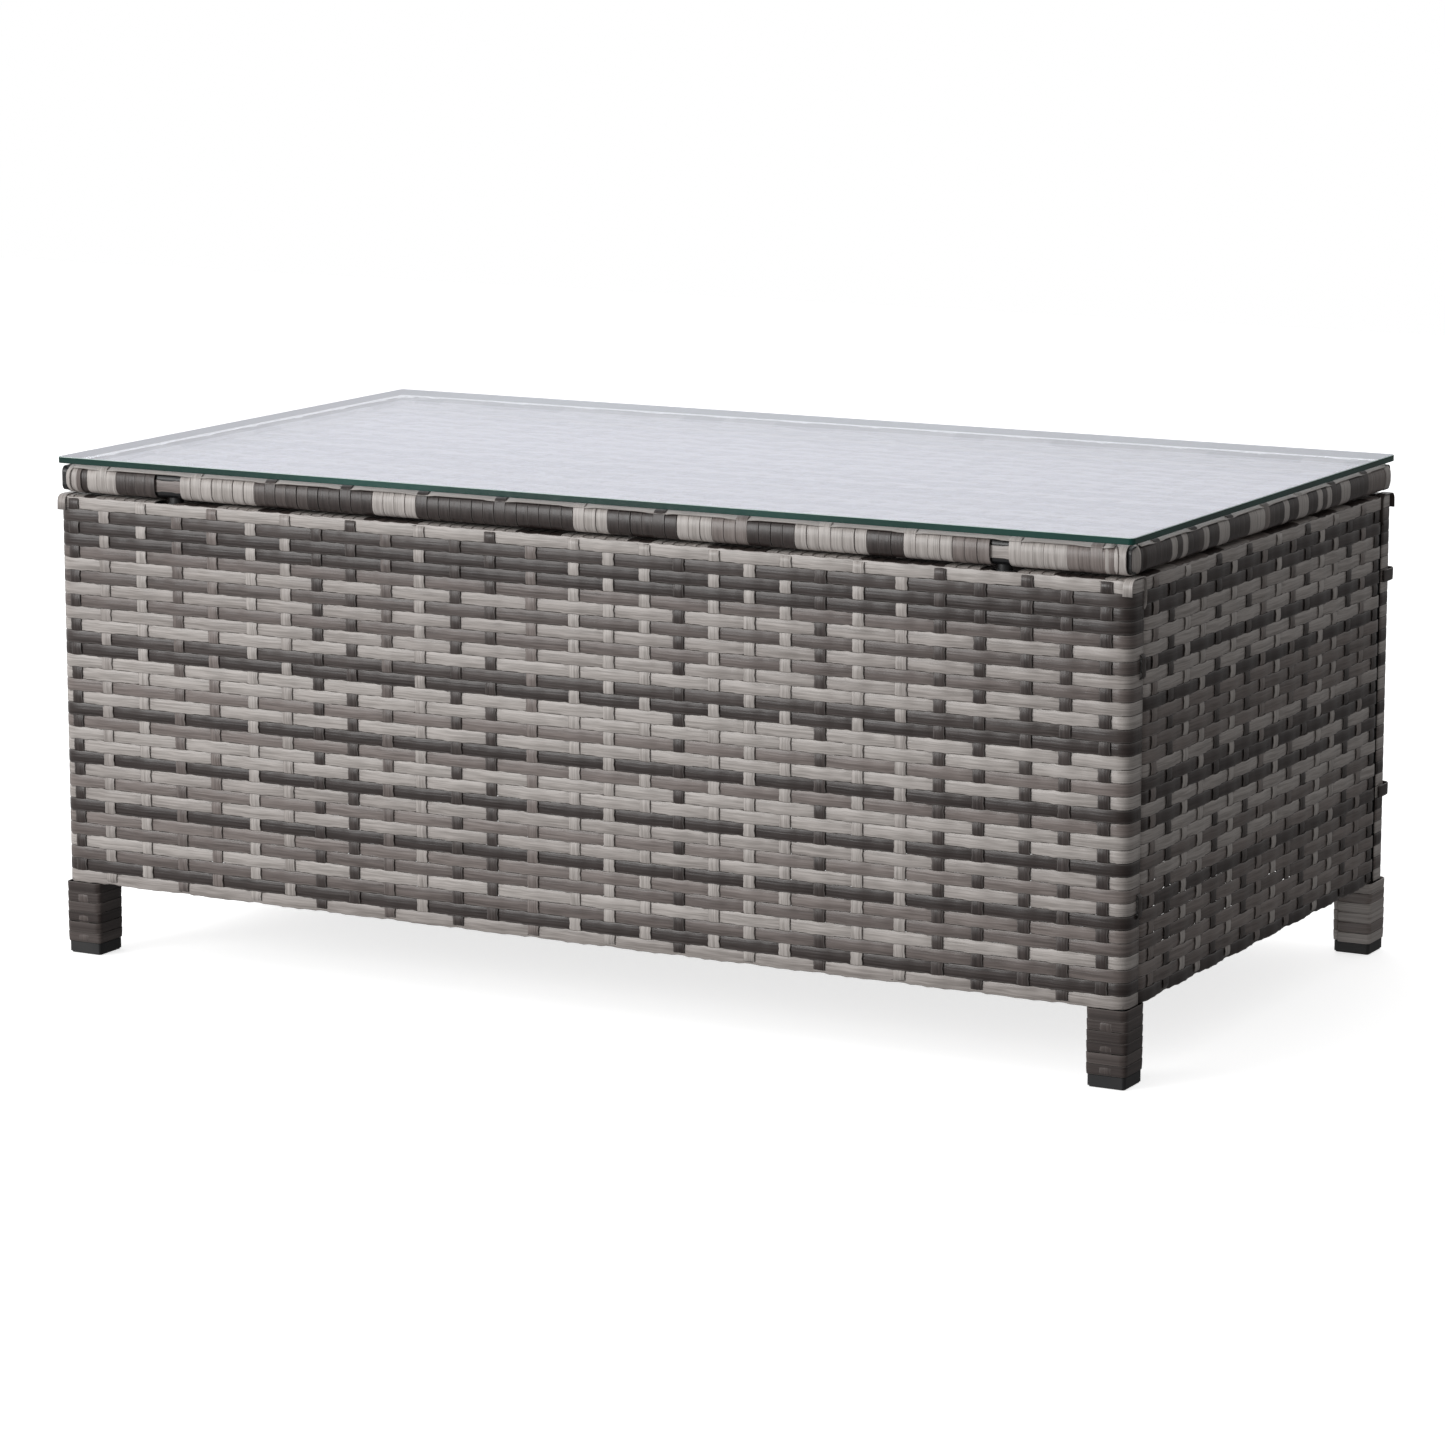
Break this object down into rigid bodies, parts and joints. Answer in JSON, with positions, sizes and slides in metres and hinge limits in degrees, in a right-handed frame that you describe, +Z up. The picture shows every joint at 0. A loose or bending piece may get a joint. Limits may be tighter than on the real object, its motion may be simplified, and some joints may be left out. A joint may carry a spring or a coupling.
{
  "type": "wicker coffee table",
  "caption": "Low box-shaped outdoor coffee table: woven strand panels on a steel tube frame, four wrapped legs and a loose glass plate on a wrapped top ring.",
  "frame": {"origin": "middle of the table's footprint, on the floor", "axes": "+Z up, +X along the table's width to the right seen from the front, +Y from the front to the back"},
  "size_m": [0.9, 0.5, 0.39],
  "materials": {
    "woven_strand": "flat woven strands in light, mid and dark grey-brown, satin, fine lengthwise grain",
    "wrap_strand": "the same strand wound close round the tubes, satin",
    "frame_steel": "black powder coat, semi-gloss",
    "cap_plastic": "black moulded plastic",
    "clear_rubber": "clear soft bumper",
    "float_glass": "clear tempered glass with polished green edges",
    "black_bolt": "black oxide",
    "zinc_steel": "bright zinc plate"
  },
  "bodies": {
    "table": {"back_bottom_rail": "frame_steel", "back_left_post": "frame_steel", "back_right_post": "frame_steel", "back_struts": "frame_steel", "back_top_rail": "frame_steel", "back_weave": "woven_strand", "corner_bolts": "black_bolt", "corner_inserts": "zinc_steel", "corner_washers": "zinc_steel", "deck_weave": "woven_strand", "foot_cap_back_left": "cap_plastic", "foot_cap_back_right": "cap_plastic", "foot_cap_front_left": "cap_plastic", "foot_cap_front_right": "cap_plastic", "front_bottom_rail": "frame_steel", "front_left_post": "frame_steel", "front_right_post": "frame_steel", "front_struts": "frame_steel", "front_top_rail": "frame_steel", "front_weave": "woven_strand", "glass_bumpers": "clear_rubber", "left_back_post": "frame_steel", "left_bottom_rail": "frame_steel", "left_front_post": "frame_steel", "left_struts": "frame_steel", "left_top_rail": "frame_steel", "left_weave": "woven_strand", "leg_tube_back_left": "frame_steel", "leg_tube_back_right": "frame_steel", "leg_tube_front_left": "frame_steel", "leg_tube_front_right": "frame_steel", "leg_wrap_back_left": "wrap_strand", "leg_wrap_back_right": "wrap_strand", "leg_wrap_front_left": "wrap_strand", "leg_wrap_front_right": "wrap_strand", "right_back_post": "frame_steel", "right_bottom_rail": "frame_steel", "right_front_post": "frame_steel", "right_struts": "frame_steel", "right_top_rail": "frame_steel", "right_weave": "woven_strand", "ring_crossbars": "frame_steel", "ring_rail_back": "frame_steel", "ring_rail_front": "frame_steel", "ring_rail_left": "frame_steel", "ring_rail_right": "frame_steel", "ring_wrap_back": "wrap_strand", "ring_wrap_front": "wrap_strand", "ring_wrap_left": "wrap_strand", "ring_wrap_right": "wrap_strand", "top_bolts": "black_bolt", "top_inserts": "zinc_steel", "top_sleeves": "cap_plastic"},
    "glass": {"glass_top": "float_glass"}
  },
  "joints": [
    {"name": "glass_lift", "type": "slide", "parent": "table", "child": "glass", "axis": [0, 0, 1], "range_m": [0, 0.12]}
  ]
}
